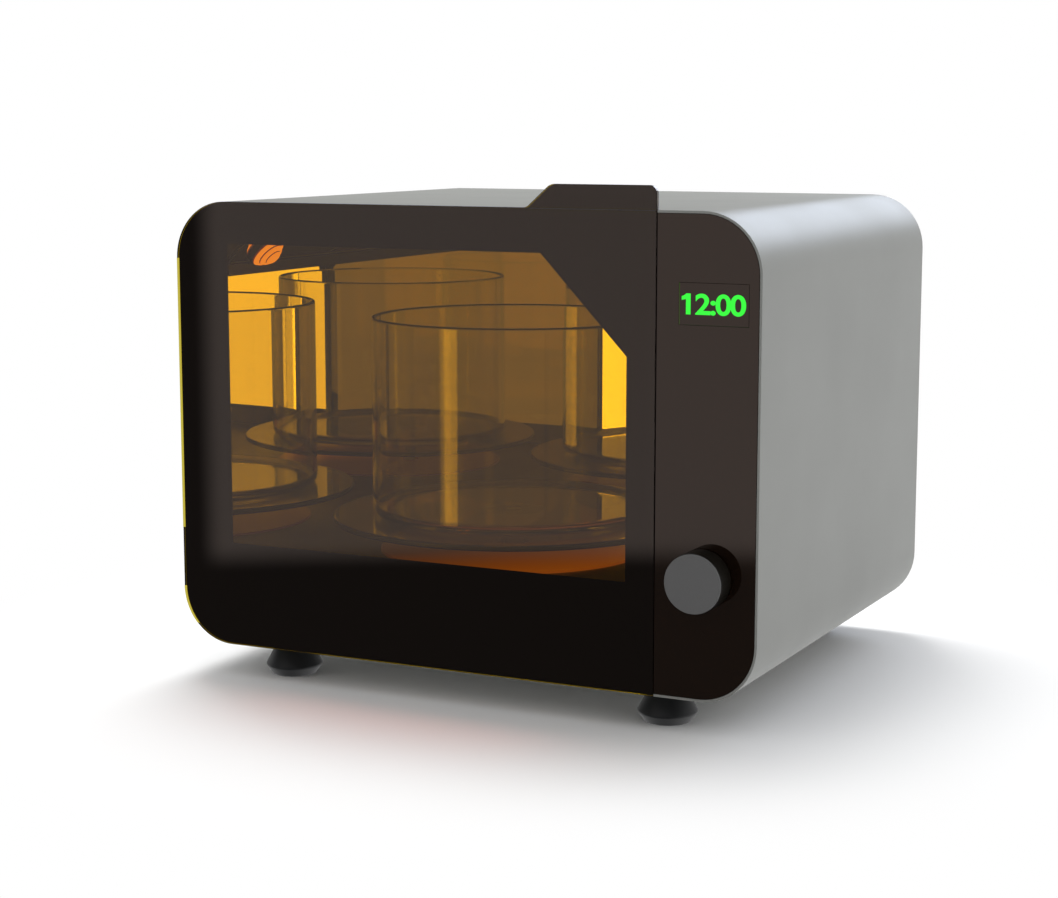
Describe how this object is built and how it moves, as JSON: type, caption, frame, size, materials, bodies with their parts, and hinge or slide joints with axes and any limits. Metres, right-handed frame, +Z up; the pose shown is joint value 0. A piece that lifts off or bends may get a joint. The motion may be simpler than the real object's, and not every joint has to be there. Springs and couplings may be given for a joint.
{
  "type": "dental lab light curing unit",
  "caption": "Countertop light curing cabinet with a hinged amber door, mirrored chamber, glass turntable and jar, control panel with display and knob.",
  "frame": {"origin": "centre of the bounding box, at the level the feet stand on", "axes": "+X to the right seen from the front, +Y from the door towards the back, +Z up"},
  "size_m": [0.401, 0.337, 0.3242],
  "materials": {
    "case_paint": "satin silver-grey",
    "zinc_steel": "zinc-plated sheet",
    "black_steel": "matt black",
    "dark_steel": "satin dark grey",
    "black_rubber": "matt",
    "mirror_glass": "polished",
    "black_plastic": "fine moulded texture",
    "orange_lens": "diffusing, orange",
    "white_lens": "diffusing, white",
    "led_board": "white solder mask",
    "heat_sink": "plain",
    "bright_steel": "bright",
    "white_plastic": "moulded",
    "clear_glass": "clear, polished",
    "gloss_black": "polished black acrylic",
    "smoked_lens": "smoked, polished",
    "circuit_board": "green solder mask",
    "brass_post": "turned",
    "knob_black": "satin black",
    "knob_grey": "satin, grey anodised",
    "rocker_black": "moulded",
    "foot_black": "moulded",
    "amber_acrylic": "amber, polished",
    "door_black": "black, seen through the acrylic"
  },
  "bodies": {
    "root": {"outer_shell": "case_paint", "back_panel": "case_paint", "chassis_base": "zinc_steel", "front_frame": "black_steel", "partition_wall": "zinc_steel", "liner_left": "zinc_steel", "liner_back": "zinc_steel", "liner_roof": "zinc_steel", "chamber_floor": "dark_steel", "door_seal": "black_rubber", "mirror_left": "mirror_glass", "mirror_right": "mirror_glass", "mirror_back": "mirror_glass", "mirror_roof": "mirror_glass", "mirror_slope_left": "mirror_glass", "mirror_slope_right": "mirror_glass", "mirror_rails": "black_plastic", "lower_lens": "orange_lens", "lower_led_board": "led_board", "lower_heat_sink": "heat_sink", "upper_lens": "white_lens", "upper_led_board": "led_board", "upper_heat_sink": "heat_sink", "turntable_motor": "zinc_steel", "control_panel": "gloss_black", "display_lens": "smoked_lens", "display_module": "black_plastic", "control_board": "circuit_board", "board_posts": "brass_post", "encoder_body": "black_plastic", "power_supply": "heat_sink", "fan_frame": "black_plastic", "fan_guard": "bright_steel", "mains_inlet": "black_plastic", "switch_bezel": "black_plastic", "foot_front_left": "foot_black", "foot_front_right": "foot_black", "foot_rear_left": "foot_black", "foot_rear_right": "foot_black", "foot_screws": "bright_steel", "hinge_case_leaves": "bright_steel", "hinge_pins": "bright_steel", "magnet_catch": "black_plastic", "back_panel_screws": "bright_steel"},
    "door": {"door_plate": "amber_acrylic", "door_mask": "door_black", "hinge_door_leaves": "bright_steel", "strike_plate": "bright_steel"},
    "turntable": {"motor_shaft": "bright_steel", "drive_hub": "white_plastic", "turntable_plate": "clear_glass"},
    "jar": {"glass_jar": "clear_glass"},
    "plunger": {"encoder_plunger": "white_plastic"},
    "knob": {"encoder_shaft": "bright_steel", "knob_body": "knob_black", "knob_cap": "knob_grey"},
    "rocker": {"power_rocker": "rocker_black"},
    "rotor": {"fan_rotor": "black_plastic"}
  },
  "joints": [
    {"name": "door_hinge", "type": "hinge", "parent": "root", "child": "door", "pos_m": [-0.1985, -0.14535, 0.16575], "axis": [0, 0, -1], "range_deg": [0, 105]},
    {"name": "turntable_spin", "type": "hinge", "parent": "root", "child": "turntable", "pos_m": [-0.0315, -0.00245, 0.0925], "axis": [0, 0, 1], "continuous": true},
    {"name": "jar_lift", "type": "slide", "parent": "turntable", "child": "jar", "axis": [0, 0, 1], "range_m": [0, 0.04]},
    {"name": "knob_push", "type": "slide", "parent": "root", "child": "plunger", "axis": [0, 1, 0], "range_m": [0, 0.0008], "stiffness_N_per_m": 800, "springref_m": -0.001},
    {"name": "knob_turn", "type": "hinge", "parent": "plunger", "child": "knob", "pos_m": [0.1664, -0.15195, 0.0958], "axis": [0, 1, 0], "continuous": true},
    {"name": "power_switch", "type": "hinge", "parent": "root", "child": "rocker", "pos_m": [0.163, 0.16055, 0.1035], "axis": [-1, 0, 0], "range_deg": [0, 16]},
    {"name": "fan_spin", "type": "hinge", "parent": "root", "child": "rotor", "pos_m": [0.163, 0.15305, 0.2215], "axis": [0, 1, 0], "continuous": true}
  ]
}
